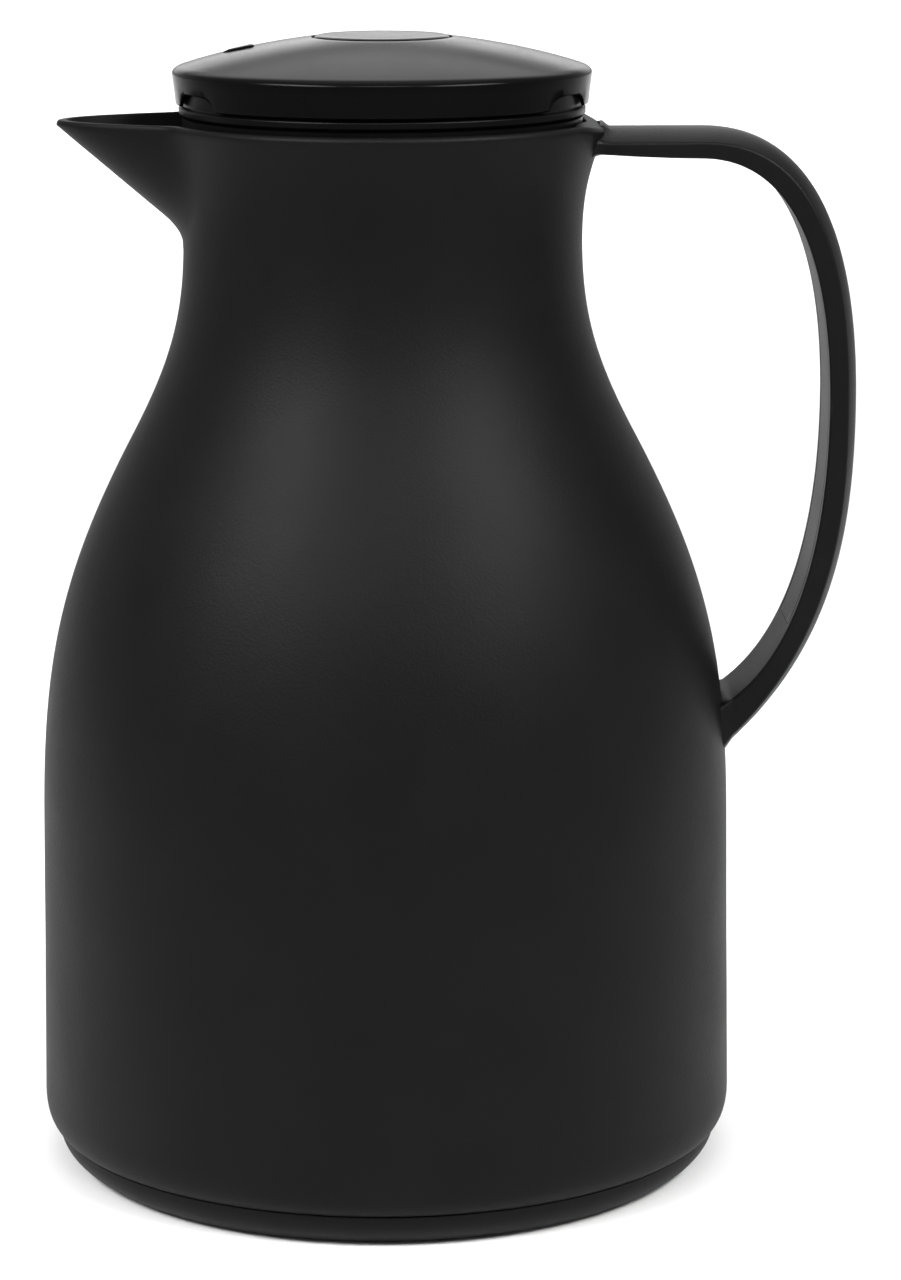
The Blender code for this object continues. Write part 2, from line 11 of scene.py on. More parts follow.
import bmesh
import bpy
import numpy as np
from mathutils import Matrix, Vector


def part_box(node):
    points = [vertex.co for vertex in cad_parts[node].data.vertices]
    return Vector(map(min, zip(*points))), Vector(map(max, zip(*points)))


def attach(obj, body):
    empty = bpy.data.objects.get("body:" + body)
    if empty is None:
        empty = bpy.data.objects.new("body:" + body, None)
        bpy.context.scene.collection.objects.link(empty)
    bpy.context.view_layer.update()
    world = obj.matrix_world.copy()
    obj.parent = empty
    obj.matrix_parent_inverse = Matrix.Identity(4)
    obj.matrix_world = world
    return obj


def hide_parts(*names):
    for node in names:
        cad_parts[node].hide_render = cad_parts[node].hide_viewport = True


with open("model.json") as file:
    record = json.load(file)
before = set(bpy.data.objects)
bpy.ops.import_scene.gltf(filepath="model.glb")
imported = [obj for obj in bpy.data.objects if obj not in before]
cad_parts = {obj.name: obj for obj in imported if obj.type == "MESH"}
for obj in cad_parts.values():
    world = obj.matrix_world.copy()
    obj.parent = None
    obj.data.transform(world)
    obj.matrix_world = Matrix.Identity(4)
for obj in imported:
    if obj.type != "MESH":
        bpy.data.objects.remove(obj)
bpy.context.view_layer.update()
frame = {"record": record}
record = frame["record"]

MM = 0.001
BODY_OF = {node: body for body, nodes in record["behaviour"]["bodies"].items() for node in nodes}


def lowest(node, axis):
    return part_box(node)[0]["xyz".index(axis)] / MM


def highest(node, axis):
    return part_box(node)[1]["xyz".index(axis)] / MM


# Main sizes in millimetres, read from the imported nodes
RIM_Z = highest("outer_shell", "z")
SEAM_Z = lowest("outer_shell", "z")
BODY_R = highest("outer_shell", "y")
GRIP_TOP_Z = highest("handle_grip", "z")
GRIP_OUT_X = highest("handle_grip", "x")
GRIP_HALF_WIDTH = highest("handle_grip", "y")
COVER_HALF_WIDTH = highest("handle_cover", "y")
COVER_TOP_X = lowest("handle_cover", "x")
COVER_LOW_Z = lowest("handle_cover", "z")
LID_R = highest("stopper_cap", "y")
LID_TOP_Z = highest("stopper_cap", "z")
SKIRT_Z = lowest("stopper_cap", "z")
BUTTON_TOP_Z = highest("push_button", "z")
STEM_TOP_Z = highest("valve_stem", "z")
STEM_FOOT_Z = lowest("valve_stem", "z")
COLLAR_TOP_Z = highest("pouring_collar", "z")
FLASK_R = highest("flask_outer_wall", "y")
NECK_TOP_Z = highest("flask_outer_wall", "z")
MOUTH_Z = highest("flask_inner_wall", "z")
SCREW_X = lowest("handle_screw", "x")
SPRING_LOW_Z = lowest("button_spring", "z")
SPRING_TOP_Z = highest("button_spring", "z")
PRESS = next(joint for joint in record["behaviour"]["joints"] if joint["name"] == "button_press")
BUTTON_TRAVEL = max(abs(limit) for limit in PRESS["range_m"]) / MM

# Sizes that no box gives
SPOUT_REACH = 73.5
SPOUT_KEEL_SLOPE = 0.847
SPOUT_TIP_DEPTH = 0.8
SPOUT_SPREAD = 3.75
SPOUT_WALL = 1.9
SHELL_WALL = 2.6
BASE_BORE_R = 76.0
NECK_R = 44.95
LIP_R = 50.2
DIP_X = 44.5
DIP_SLOPE = 0.36
SPOUT_FOOT_Z = 190.0
SCREW_Z = 106.0
FLASK_GLASS = 1.5
FLASK_NECK_R = 32.5
GLASS_GAP = 0.3
JOINT_FILLET = 1.2
STOPPER_R = 44.9
STOPPER_LEAD = 18.0
BASE_LEAD = 8.0

# Points round a turned piece
AROUND = 192


# Outlines

def bezier(start, first, second, end, steps):
    t = np.linspace(0.0, 1.0, steps + 1)[:, None]
    corners = [np.array(p, float) for p in (start, first, second, end)]
    curve = ((1 - t) ** 3 * corners[0] + 3 * t * (1 - t) ** 2 * corners[1]
             + 3 * t * t * (1 - t) * corners[2] + t ** 3 * corners[3])
    return [tuple(p) for p in curve]


def chain(*runs):
    """Join runs of points end to end, without repeating shared ends."""
    points = []
    for run in runs:
        for point in run:
            if not points or math.dist(points[-1], point) > 1e-4:
                points.append(tuple(point))
    return points


def offset(points, distance):
    """Shift a run of points to its left-hand side by a distance."""
    shifted = []
    last = len(points) - 1
    for index, (r, z) in enumerate(points):
        before = points[max(index - 1, 0)]
        after = points[min(index + 1, last)]
        along = Vector((after[0] - before[0], after[1] - before[1])).normalized()
        shifted.append((r - along.y * distance, z + along.x * distance))
    return shifted


def softened(points, radius, closed=True, steps=4):
    """Round every sharp corner of an outline; gentle bends are left as they are."""
    result = []
    count = len(points)
    for index, point in enumerate(points):
        if not closed and index in (0, count - 1):
            result.append(point)
            continue
        here = Vector(point)
        back = Vector(points[index - 1]) - here
        ahead = Vector(points[(index + 1) % count]) - here
        if back.length < 1e-6 or ahead.length < 1e-6 or math.pi - back.angle(ahead) < math.radians(24):
            result.append(point)
            continue
        half = back.angle(ahead) / 2
        reach = min(radius / math.tan(half), 0.46 * back.length, 0.46 * ahead.length)
        start = here + back.normalized() * reach
        end = here + ahead.normalized() * reach
        for step in range(steps + 1):
            t = step / steps
            result.append(tuple(start * (1 - t) ** 2 + here * 2 * t * (1 - t) + end * t * t))
    return result


def oval(centre_r, centre_z, half_r, half_z, steps=20):
    turn = [2 * math.pi * k / steps for k in range(steps)]
    return [(centre_r + half_r * math.cos(a), centre_z + half_z * math.sin(a)) for a in turn]


# Mesh makers

def new_piece(name, verts, faces, sharp_deg=60.0):
    """A smooth-shaded object from vertices in millimetres."""
    mesh = bpy.data.meshes.new(name)
    mesh.from_pydata([tuple(v) for v in np.asarray(verts, float) * MM], [], faces)
    bm = bmesh.new()
    bm.from_mesh(mesh)
    bmesh.ops.remove_doubles(bm, verts=bm.verts, dist=1e-7)
    bmesh.ops.dissolve_degenerate(bm, edges=bm.edges, dist=1e-7)
    bmesh.ops.recalc_face_normals(bm, faces=bm.faces)
    bm.to_mesh(mesh)
    bm.free()
    mesh.shade_smooth()
    mesh.set_sharp_from_angle(angle=math.radians(sharp_deg))
    piece = bpy.data.objects.new(name, mesh)
    bpy.context.scene.collection.objects.link(piece)
    weighted = piece.modifiers.new("WeightedNormal", "WEIGHTED_NORMAL")
    weighted.keep_sharp = True
    weighted.weight = 60
    return piece


def skin(rings, wrap=False):
    """Vertices and quads over a row of equal closed rings; wrap joins the last to the first."""
    count = len(rings[0])
    verts = [p for ring in rings for p in ring]
    faces = []
    rows = len(rings) if wrap else len(rings) - 1
    for row in range(rows):
        low = row * count
        high = ((row + 1) % len(rings)) * count
        for k in range(count):
            following = (k + 1) % count
            faces.append((low + k, low + following, high + following, high + k))
    return verts, faces


def ring_at(r, z, segments):
    angles = np.linspace(0.0, 2 * math.pi, segments, endpoint=False)
    return np.column_stack((r * np.cos(angles), r * np.sin(angles), np.full(segments, z)))


def lathe_mesh(outline, closed=True, segments=AROUND):
    """Turn an outline about +Z. An open outline starts and ends on the axis."""
    return skin([ring_at(max(r, 0.0), z, segments) for r, z in outline], wrap=closed)


def joined(*meshes):
    """Several (vertices, faces) sets as one."""
    verts = []
    faces = []
    for more_verts, more_faces in meshes:
        start = len(verts)
        verts.extend(tuple(v) for v in more_verts)
        faces.extend(tuple(k + start for k in face) for face in more_faces)
    return verts, faces


def capped(rings):
    """Skin a row of rings and close both ends."""
    verts, faces = skin(rings)
    count = len(rings[0])
    faces.append(tuple(range(count)))
    faces.append(tuple(range(len(verts) - count, len(verts))))
    return verts, faces


def thread_lugs(root_r, tip_r, centre_z, lead, starts, arc_deg, thickness):
    """Helical lugs of a screw thread, which run out to nothing at both ends."""
    steps = int(arc_deg / 2)
    sets = []
    for start in range(starts):
        rings = []
        for step in range(steps + 1):
            share = step / steps
            run_out = min(1.0, 0.02 + 12 * share, 0.02 + 12 * (1 - share)) ** 0.5
            swing = arc_deg * (share - 0.5)
            angle = math.radians(360.0 * start / starts + swing)
            height = centre_z + lead * swing / 360.0
            tip = root_r + (tip_r - root_r) * run_out
            corners = [(root_r, -thickness / 2), (tip, -thickness / 3), (tip, thickness / 3),
                       (root_r, thickness / 2)]
            rings.append([(r * math.cos(angle), r * math.sin(angle), height + z)
                          for r, z in softened(corners, 0.4, steps=3)])
        sets.append(capped(rings))
    return joined(*sets)


def stand_in(node, verts, faces, finish, **options):
    """Make a piece that takes the place of a CAD node: its body and a finish."""
    piece = new_piece(node + "_surface", verts, faces, **options)
    piece.data.materials.append(finish)
    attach(piece, BODY_OF[node])
    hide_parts(node)
    return piece


def turned_piece(node, outline, finish, radius=0.4, closed=True, extras=()):
    rounded = softened(outline, radius, closed)
    return stand_in(node, *joined(lathe_mesh(rounded, closed), *extras), finish)


# Finishes

class Nodes:
    """A material's node tree, with short ways to add to it."""

    def __init__(self, name):
        self.material = bpy.data.materials.new(name)
        self.material.use_nodes = True
        self.tree = self.material.node_tree
        self.shader = self.tree.nodes["Principled BSDF"]
        self.place = self.add("ShaderNodeTexCoord").outputs["Object"]

    def add(self, kind, **settings):
        node = self.tree.nodes.new(kind)
        for key, value in settings.items():
            setattr(node, key, value)
        return node

    def link(self, output, socket):
        self.tree.links.new(output, socket)

    def noise(self, scale, detail=3.0, roughness=0.5, stretch=(1.0, 1.0, 1.0)):
        mapping = self.add("ShaderNodeMapping")
        mapping.inputs["Scale"].default_value = stretch
        self.link(self.place, mapping.inputs["Vector"])
        node = self.add("ShaderNodeTexNoise")
        node.inputs["Scale"].default_value = scale
        node.inputs["Detail"].default_value = detail
        node.inputs["Roughness"].default_value = roughness
        self.link(mapping.outputs["Vector"], node.inputs["Vector"])
        return node.outputs["Fac"]

    def cells(self, scale):
        node = self.add("ShaderNodeTexVoronoi")
        node.inputs["Scale"].default_value = scale
        self.link(self.place, node.inputs["Vector"])
        return node.outputs["Distance"]

    def spread(self, value, low, high, start=0.3, end=0.7):
        """Map a pattern from start..end to low..high."""
        node = self.add("ShaderNodeMapRange")
        for socket, number in (("From Min", start), ("From Max", end), ("To Min", low), ("To Max", high)):
            node.inputs[socket].default_value = number
        self.link(value, node.inputs["Value"])
        return node.outputs["Result"]

    def sum_of(self, first, second):
        node = self.add("ShaderNodeMath", operation="ADD")
        self.link(first, node.inputs[0])
        self.link(second, node.inputs[1])
        return node.outputs["Value"]

    def colours(self, value, stops):
        ramp = self.add("ShaderNodeValToRGB")
        points = ramp.color_ramp.elements
        while len(points) < len(stops):
            points.new(0.5)
        for point, (position, colour) in zip(points, stops):
            point.position = position
            point.color = (*colour, 1.0)
        self.link(value, ramp.inputs["Fac"])
        return ramp.outputs["Color"]

    def edges(self):
        """High on sharp outer edges, low in creases."""
        return self.add("ShaderNodeNewGeometry").outputs["Pointiness"]

    def bump(self, *layers):
        """Bump layers as (height, depth in metres, strength), finest last."""
        normal = None
        for height, depth, strength in layers:
            node = self.add("ShaderNodeBump")
            node.inputs["Distance"].default_value = depth
            node.inputs["Strength"].default_value = strength
            self.link(height, node.inputs["Height"])
            if normal is not None:
                self.link(normal, node.inputs["Normal"])
            normal = node.outputs["Normal"]
        self.link(normal, self.shader.inputs["Normal"])


def grey(level, warmth=0.0):
    return (level * (1 + warmth), level, level * (1 - warmth))


def colour_with_painted_highlight(nodes, base, mottle_scale, painted_highlight, warmth=0.0):
    """A base colour with slow mottling, and a painted highlight: a lighter tone on sharp outer edges."""
    mottle = nodes.noise(mottle_scale, 4.0, 0.6)
    body = nodes.colours(mottle, [(0.3, grey(base * 0.86, warmth)), (0.7, grey(base * 1.14, warmth))])
    # Painted highlight: sharp outer edges are mixed towards a lighter grey, standing in for the light that
    # rounded edges catch.
    edge = nodes.spread(nodes.edges(), 0.0, 1.0, 0.53, 0.62)
    mix = nodes.add("ShaderNodeMix", data_type="RGBA")
    mix.inputs["B"].default_value = (*grey(painted_highlight, warmth), 1.0)
    nodes.link(edge, mix.inputs["Factor"])
    nodes.link(body, mix.inputs["A"])
    nodes.link(mix.outputs["Result"], nodes.shader.inputs["Base Color"])


def matte_plastic(name, dull, specular):
    """Spark-textured black plastic: a fine dull grain over slow waves."""
    nodes = Nodes(name)
    colour_with_painted_highlight(nodes, 0.0026, 60.0, 0.006)
    grain = nodes.noise(2600.0, 2.0, 0.65)
    pits = nodes.cells(1500.0)
    rubbed = nodes.noise(45.0, 3.0, 0.55)
    rough = nodes.sum_of(nodes.spread(rubbed, dull, dull + 0.05), nodes.spread(grain, -0.03, 0.03))
    nodes.link(rough, nodes.shader.inputs["Roughness"])
    nodes.bump((nodes.noise(35.0, 2.0), 0.0002, 0.2), (pits, 0.00006, 0.35), (grain, 0.00008, 0.5))
    nodes.shader.inputs["Specular IOR Level"].default_value = specular
    return nodes.material


def gloss_plastic():
    """Polished black plastic with slight flow waves and hairline rubbing."""
    nodes = Nodes("gloss_black_plastic")
    colour_with_painted_highlight(nodes, 0.0015, 40.0, 0.003)
    hairlines = nodes.noise(900.0, 5.0, 0.75, stretch=(1.0, 0.12, 0.3))
    smears = nodes.noise(55.0, 4.0, 0.6)
    rough = nodes.sum_of(nodes.spread(smears, 0.15, 0.21), nodes.spread(hairlines, 0.0, 0.03))
    nodes.link(rough, nodes.shader.inputs["Roughness"])
    nodes.bump((nodes.noise(90.0, 2.0), 0.0001, 0.12), (hairlines, 0.00001, 0.2))
    nodes.shader.inputs["Specular IOR Level"].default_value = 0.055
    return nodes.material


def inner_plastic():
    """Moulded black plastic as it leaves the tool, a little duller than the lid."""
    nodes = Nodes("inner_black_plastic")
    colour_with_painted_highlight(nodes, 0.0018, 70.0, 0.004)
    drag = nodes.noise(300.0, 4.0, 0.6, stretch=(1.0, 1.0, 0.1))
    rough = nodes.sum_of(nodes.spread(nodes.noise(80.0, 3.0), 0.24, 0.34), nodes.spread(drag, 0.0, 0.05))
    nodes.link(rough, nodes.shader.inputs["Roughness"])
    nodes.bump((drag, 0.00003, 0.3), (nodes.noise(1800.0, 2.0), 0.00003, 0.2))
    nodes.shader.inputs["Specular IOR Level"].default_value = 0.07
    return nodes.material


def natural_plastic():
    nodes = Nodes("natural_plastic")
    colour_with_painted_highlight(nodes, 0.5, 60.0, 0.62, 0.03)
    rough = nodes.spread(nodes.noise(120.0, 4.0), 0.36, 0.5)
    nodes.link(rough, nodes.shader.inputs["Roughness"])
    nodes.bump((nodes.noise(1200.0, 3.0), 0.00004, 0.35),)
    return nodes.material


def silicone():
    """Satin silicone rubber with a powdery bloom."""
    nodes = Nodes("grey_silicone")
    colour_with_painted_highlight(nodes, 0.3, 90.0, 0.36, 0.01)
    bloom = nodes.noise(140.0, 5.0, 0.65)
    nodes.link(nodes.spread(bloom, 0.48, 0.68), nodes.shader.inputs["Roughness"])
    nodes.bump((bloom, 0.00005, 0.2), (nodes.noise(2200.0, 2.0), 0.00003, 0.35))
    nodes.shader.inputs["Sheen Weight"].default_value = 0.12
    return nodes.material


def silvered_glass():
    """Mirror coating seen through blown glass, with its slow waves and a few specks."""
    nodes = Nodes("silvered_glass")
    tone = nodes.noise(25.0, 4.0, 0.6)
    nodes.link(nodes.colours(tone, [(0.3, (0.66, 0.68, 0.7)), (0.7, (0.82, 0.83, 0.83))]),
               nodes.shader.inputs["Base Color"])
    specks = nodes.cells(260.0)
    rough = nodes.sum_of(nodes.spread(tone, 0.03, 0.09), nodes.spread(specks, 0.12, 0.0, 0.02, 0.1))
    nodes.link(rough, nodes.shader.inputs["Roughness"])
    nodes.bump((nodes.noise(28.0, 3.0), 0.0008, 0.35), (nodes.noise(110.0, 2.0), 0.0001, 0.15))
    nodes.shader.inputs["Metallic"].default_value = 0.95
    nodes.shader.inputs["Coat Weight"].default_value = 1.0
    nodes.shader.inputs["Coat Roughness"].default_value = 0.02
    return nodes.material


def drawn_steel():
    nodes = Nodes("drawn_steel")
    lines = nodes.noise(900.0, 4.0, 0.7, stretch=(0.2, 0.2, 4.0))
    nodes.link(nodes.colours(lines, [(0.3, grey(0.42)), (0.7, grey(0.62))]),
               nodes.shader.inputs["Base Color"])
    nodes.link(nodes.spread(lines, 0.2, 0.4), nodes.shader.inputs["Roughness"])
    nodes.bump((lines, 0.00002, 0.4),)
    nodes.shader.inputs["Metallic"].default_value = 1.0
    return nodes.material


def wool_felt():
    nodes = Nodes("wool_felt")
    fibres = nodes.noise(1400.0, 6.0, 0.8, stretch=(1.0, 0.5, 0.7))
    nodes.link(nodes.colours(fibres, [(0.25, (0.34, 0.31, 0.25)), (0.75, (0.68, 0.64, 0.55))]),
               nodes.shader.inputs["Base Color"])
    nodes.link(nodes.spread(fibres, 0.85, 1.0), nodes.shader.inputs["Roughness"])
    nodes.bump((fibres, 0.0002, 0.8),)
    nodes.shader.inputs["Sheen Weight"].default_value = 0.4
    return nodes.material


# Shell: a turned body that swells into the spout

SHOULDER = ((BODY_R - 0.9, 84.0), (78.1, 117.9), (73.7, 137.2), (57.4, 168.0))
NECK = ((57.4, 168.0), (48.8, 184.2), (45.0, 195.1), (NECK_R, 213.0))
FLARE = ((NECK_R, 213.0), (45.0, 222.9), (46.4, 228.6), (LIP_R, RIM_Z - 1.2))


def side_line():
    """The shell's outer side from its lower edge to just under the lip."""
    corner = bezier((77.0, SEAM_Z), (78.6, SEAM_Z + 1.2), (BODY_R, 11.5), (BODY_R, 16.0), 10)
    wall = [(BODY_R - 0.25, 33.0), (BODY_R - 0.5, 50.0), (BODY_R - 0.7, 67.0)]
    return chain(corner, wall, bezier(*SHOULDER, 30), bezier(*NECK, 24), bezier(*FLARE, 30))


SIDE = side_line()
SIDE_Z = np.array([z for r, z in SIDE])
SIDE_R = np.array([r for r, z in SIDE])


def spout_radius(angles, depth, inset=0.0):
    """Distance from the axis to the spout's wall, at angles from the spout and a depth under the rim."""
    reach = SPOUT_REACH - 1.6 * inset
    low = np.zeros_like(angles)
    high = np.full_like(angles, reach + 10.0)
    for _ in range(40):
        middle = (low + high) / 2
        along = reach - middle * np.cos(angles)
        across = middle * np.sin(angles)
        inside = (along > 1e-6) & (np.cos(angles) > 0.0)
        share = np.where(inside, across ** 2 / (SPOUT_SPREAD ** 2 * np.maximum(along, 1e-6)), 2.0)
        keel = SPOUT_TIP_DEPTH + SPOUT_KEEL_SLOPE * (along + 0.4 * inset)
        wall_depth = np.where(share < 1.0, keel * np.maximum(1.0 - share, 0.0) ** 0.625, -1.0)
        deep = wall_depth >= depth
        low = np.where(deep, middle, low)
        high = np.where(deep, high, middle)
    return low


def blended(first, second, width):
    """The larger of two radii, with a fillet where they are close."""
    near = np.maximum(width - np.abs(first - second), 0.0)
    return np.maximum(first, second) + near ** 2 / (4 * width)


def spout_angles(count=360, pull=2.0):
    """Angles from the spout's direction, closer together near the spout."""
    share = np.linspace(-1.0, 1.0, count, endpoint=False)
    return math.pi * np.sinh(pull * share) / math.sinh(pull)


def shell_ring(angles, radii, z):
    """One ring of the shell; its top is lowered where it runs into the handle."""
    x = -radii * np.cos(angles)
    y = radii * np.sin(angles)
    fade = np.clip((z - 222.0) / (RIM_Z - 222.0), 0.0, 1.0) ** 2
    ease = 0.6
    past = x - DIP_X
    dip = DIP_SLOPE * 0.5 * (past + np.sqrt(past ** 2 + ease ** 2))
    return np.column_stack((x, y, z - dip * fade))


def land_inset(angles, z):
    """How far the rim is widened inwards in front of the handle."""
    turn = math.pi - np.abs(angles)
    window = np.clip((math.radians(29.0) - turn) / math.radians(9.0), 0.0, 1.0)
    window = window * window * (3 - 2 * window)
    rise = np.clip((z - 235.0) / 4.0, 0.0, 1.0)
    return 2.2 * window * rise


def outer_shell(finish):
    angles = spout_angles()
    rings = []
    for r, z in SIDE:
        radii = np.full_like(angles, r)
        if z > SPOUT_FOOT_Z:
            radii = blended(radii, spout_radius(angles, RIM_Z - z), 4.0)
        rings.append(shell_ring(angles, radii, z))

    edge_depth = 1.2
    lip_radii = blended(np.full_like(angles, LIP_R), spout_radius(angles, edge_depth), 4.0)
    for turn in np.radians((22.5, 45.0, 67.5, 90.0)):
        radii = lip_radii - 0.8 * (1 - math.cos(turn))
        rings.append(shell_ring(angles, radii, RIM_Z - edge_depth + edge_depth * math.sin(turn)))

    inner_line = offset(chain(bezier(*SHOULDER, 16), bezier(*NECK, 16), bezier(*FLARE, 24)), SHELL_WALL)
    inner_top_r = inner_line[-1][0]
    channel = spout_radius(angles, 0.02, SPOUT_WALL)
    for turn in np.radians((90.0, 60.0, 30.0, 0.0)):
        radii = blended(np.full_like(angles, inner_top_r), channel, 2.0) - land_inset(angles, RIM_Z)
        radii = radii + 0.35 * math.sin(turn)
        rings.append(shell_ring(angles, radii, RIM_Z - 0.35 * (1 - math.sin(turn))))
    for r, z in reversed([p for p in inner_line if 87.0 < p[1] < RIM_Z - 1.0]):
        radii = np.full_like(angles, r)
        if z > SPOUT_FOOT_Z:
            radii = blended(radii, spout_radius(angles, RIM_Z - z, SPOUT_WALL), 2.0)
        rings.append(shell_ring(angles, radii - land_inset(angles, z), z))
    for r, z in ((BASE_BORE_R, 85.5), (BASE_BORE_R, 60.0), (BASE_BORE_R, 20.0), (BASE_BORE_R, SEAM_Z + 0.4),
                 (BASE_BORE_R + 0.3, SEAM_Z)):
        rings.append(shell_ring(angles, np.full_like(angles, r), z))
    body = skin(rings, wrap=True)
    threads = thread_lugs(BASE_BORE_R + 0.3, 74.4, 13.7, BASE_LEAD, 2, 120.0, 1.5)
    return stand_in("outer_shell", *joined(body, threads), finish)


# Handle

GRIP_OUTER = (((72.0, GRIP_TOP_Z), (101.0, GRIP_TOP_Z), (GRIP_OUT_X, 205.0), (GRIP_OUT_X, 176.0)),
              ((GRIP_OUT_X, 176.0), (GRIP_OUT_X, 146.6), (103.2, 119.6), (79.7, 97.7)))
GRIP_INNER = (((71.0, 231.8), (95.0, 231.8), (100.4, 201.0), (100.4, 176.0)),
              ((100.4, 176.0), (100.4, 154.0), (97.1, 122.3), (78.7, 108.4)))
CROWN_DROP = 2.8


def grip_stations():
    """Matching points of the handle's inner and outer lines, as (x, z) pairs."""
    outer = chain([(43.0, GRIP_TOP_Z)], bezier((46.0, GRIP_TOP_Z), (55.0, GRIP_TOP_Z), (63.0, GRIP_TOP_Z),
                                               (72.0, GRIP_TOP_Z), 16),
                  bezier(*GRIP_OUTER[0], 44), bezier(*GRIP_OUTER[1], 52), [(77.0, 95.1), (74.0, 92.2)])
    inner = chain([(43.0, 233.1)], bezier((46.0, 232.9), (55.0, 232.3), (62.0, 231.9), (71.0, 231.8), 16),
                  bezier(*GRIP_INNER[0], 44), bezier(*GRIP_INNER[1], 52), [(76.0, 106.3), (73.0, 104.1)])
    return list(zip(inner, outer))


def section_frame(pair):
    inner = Vector((pair[0][0], 0.0, pair[0][1]))
    outer = Vector((pair[1][0], 0.0, pair[1][1]))
    return inner, (outer - inner).normalized(), (outer - inner).length


def mirrored(half):
    """Close a half section, given from the crown round to the inner face, by its mirror image."""
    return half + [(-y, s) for y, s in reversed(half) if y > 1e-6]


def grip_section(thickness, recess):
    """The grip's outline across the handle: y, and height above the inner face."""
    w = GRIP_HALF_WIDTH
    crown = [(w * k / 10, thickness - CROWN_DROP * (k / 10) ** 2.4) for k in range(10)]
    crease = softened([crown[-1], (w, thickness - CROWN_DROP), (w, 1.0)], 0.9, closed=False, steps=5)[1:-1]
    heel = softened([(w, 2.0), (w, 0.0), (COVER_HALF_WIDTH + 0.3, 0.0)], 0.8, closed=False, steps=5)[1:-1]
    groove = [(COVER_HALF_WIDTH + 0.5, 0.0), (COVER_HALF_WIDTH + 0.3, 0.2 * recess),
              (COVER_HALF_WIDTH + 0.3, 1.6 * recess), (4.0, 1.6 * recess), (0.0, 1.6 * recess)]
    return mirrored(crown + crease + heel + groove)


def wall_distance(points):
    """How far points lie outside the shell's turned surface, and the way out of it."""
    r = np.hypot(points[:, 0], points[:, 1])
    z = np.clip(points[:, 2], SIDE_Z[0], SIDE_Z[-1])
    body_r = np.interp(z, SIDE_Z, SIDE_R)
    slope = (np.interp(z + 0.5, SIDE_Z, SIDE_R) - np.interp(z - 0.5, SIDE_Z, SIDE_R))
    tilt = 1 / np.sqrt(1 + slope ** 2)
    away = np.column_stack((points[:, 0] / r * tilt, points[:, 1] / r * tilt, -slope * tilt))
    return (r - body_r) * tilt, away


def flared_into_wall(points, normals, fillet):
    """Swell a surface where it meets the shell, and stop it just under the shell's skin."""
    distance, away = wall_distance(points)
    reach = np.clip(distance, 0.0, fillet)
    swell = fillet - np.sqrt(fillet ** 2 - (fillet - reach) ** 2)
    points = points + normals * swell[:, None]
    distance, away = wall_distance(points)
    sunk = np.maximum(-1.3 - distance, 0.0)
    return points + away * sunk[:, None]


def outward(section):
    """Unit directions out of a clockwise section, one for each of its points."""
    count = len(section)
    ways = []
    for k in range(count):
        before = section[k - 1]
        after = section[(k + 1) % count]
        ways.append(Vector((before[1] - after[1], after[0] - before[0])).normalized())
    return ways


def handle_grip(finish):
    """A crowned band whose ends spread into the shell with a small fillet."""
    rings = []
    for pair in grip_stations():
        foot, through, thickness = section_frame(pair)
        recessed = COVER_TOP_X <= foot.x and foot.z >= COVER_LOW_Z
        section = grip_section(thickness, 1.0 if recessed else 0.0)
        ring = np.array([foot + through * s + Vector((0.0, y, 0.0)) for y, s in section])
        ways = np.array([Vector((0.0, way.x, 0.0)) + through * way.y for way in outward(section)])
        rings.append(flared_into_wall(ring, ways, JOINT_FILLET))
    return stand_in("handle_grip", *capped(rings), finish)


def between(first, second, share):
    """The point that lies a share of the way from one point to another."""
    return tuple(a + (b - a) * share for a, b in zip(first, second))


def handle_cover(finish):
    """The strip that closes the handle's hollow; its rim is rounded and its ends fill the recess."""
    path = grip_stations()
    held = [k for k, pair in enumerate(path) if pair[0][0] >= COVER_TOP_X and pair[0][1] >= COVER_LOW_Z]
    stations = [path[k] for k in held]
    for end, k, beyond in ((0, held[0], held[0] - 1), (-1, held[-1], held[-1] + 1)):
        stations[end] = tuple(between(path[k][side], path[beyond][side], 0.85) for side in (0, 1))
    rings = []
    for index, pair in enumerate(stations):
        foot, through, _ = section_frame(pair)
        width = COVER_HALF_WIDTH - (0.3 if index in (0, len(stations) - 1) else 0.0)
        half = [(0.0, 1.2), (width, 1.2)]
        half += softened([(width, 1.2), (width, 0.0), (0.0, 0.0)], 0.35, closed=False, steps=4)[1:-1]
        half += [(4.5, 0.0), (0.0, 0.0)]
        rings.append([foot + through * s + Vector((0.0, y, 0.0)) for y, s in mirrored(half)])
    return stand_in("handle_cover", *capped(rings), finish)


def handle_screw(finish):
    """Pan-head screw with a hexagon recess and a rolled thread, lying along X."""
    head = softened([(1.25, -1.2), (1.25, 0.0), (2.6, 0.0), (3.4, -0.8), (3.4, -2.0), (1.75, -2.0)], 0.3,
                    closed=False)
    thread = []
    pitch = 0.8
    for k in range(11):
        start = -2.4 - pitch * k
        thread += [(1.75, start), (1.45, start - 0.35 * pitch), (1.45, start - 0.5 * pitch),
                   (1.75, start - 0.85 * pitch)]
    tip = [(1.2, -11.7), (0.0, -11.9)]
    outline = [(0.0, -1.2)] + head + thread + tip
    verts, faces = lathe_mesh(outline, closed=False, segments=48)
    verts = np.array(verts)
    recess = (np.hypot(verts[:, 0], verts[:, 1]) < 1.26) & (verts[:, 2] > -1.25)
    angle = np.arctan2(verts[:, 1], verts[:, 0])
    sixth = math.pi / 3
    hexagon = math.cos(sixth / 2) / np.cos((angle + sixth / 2) % sixth - sixth / 2)
    verts[recess, 0] *= hexagon[recess]
    verts[recess, 1] *= hexagon[recess]
    along = np.column_stack((SCREW_X + 0.02 - verts[:, 2], verts[:, 1], SCREW_Z + verts[:, 0]))
    return stand_in("handle_screw", along, faces, finish)


# Base

